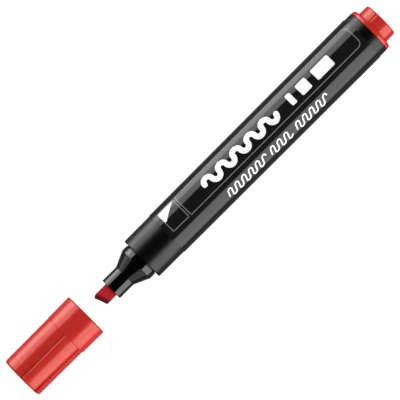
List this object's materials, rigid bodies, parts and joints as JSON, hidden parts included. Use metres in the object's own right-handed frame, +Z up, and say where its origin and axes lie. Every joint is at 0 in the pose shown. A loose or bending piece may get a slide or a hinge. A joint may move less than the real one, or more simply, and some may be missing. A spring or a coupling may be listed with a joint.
{
  "type": "felt tip marker",
  "caption": "Round permanent marker with a wide chisel felt nib, a printed black barrel, a red end plug and a red pull-off cap that slides on along its axis.",
  "frame": {"origin": "centre of the object's box along its length and width, at the height of the lowest facet of the label, which rests on the ground", "axes": "+X along the marker's axis from the cap's closed end to the end plug, +Z up, +Y towards the long corner of the nib"},
  "size_m": [0.16, 0.0164, 0.0164],
  "materials": {
    "satin_black": "satin moulded",
    "label_black": "glossy printed film",
    "gloss_black": "polished moulded",
    "red_felt": "bonded felt soaked with ink",
    "inked_fibre": "bonded fibre soaked with ink",
    "clear_film": "thin film",
    "red_plastic": "semi-gloss moulded",
    "natural_plastic": "soft moulded"
  },
  "bodies": {
    "pen": {"barrel": "satin_black", "label_sleeve": "label_black", "front_nozzle": "gloss_black", "nib": "red_felt", "ink_reservoir": "inked_fibre", "reservoir_film": "clear_film", "end_plug": "red_plastic"},
    "cap": {"cap_shell": "red_plastic", "cap_inner_seal": "natural_plastic"}
  },
  "joints": [
    {"name": "cap_slide", "type": "slide", "parent": "pen", "child": "cap", "axis": [1, 0, 0], "range_m": [-0.02, 0.0244]}
  ]
}
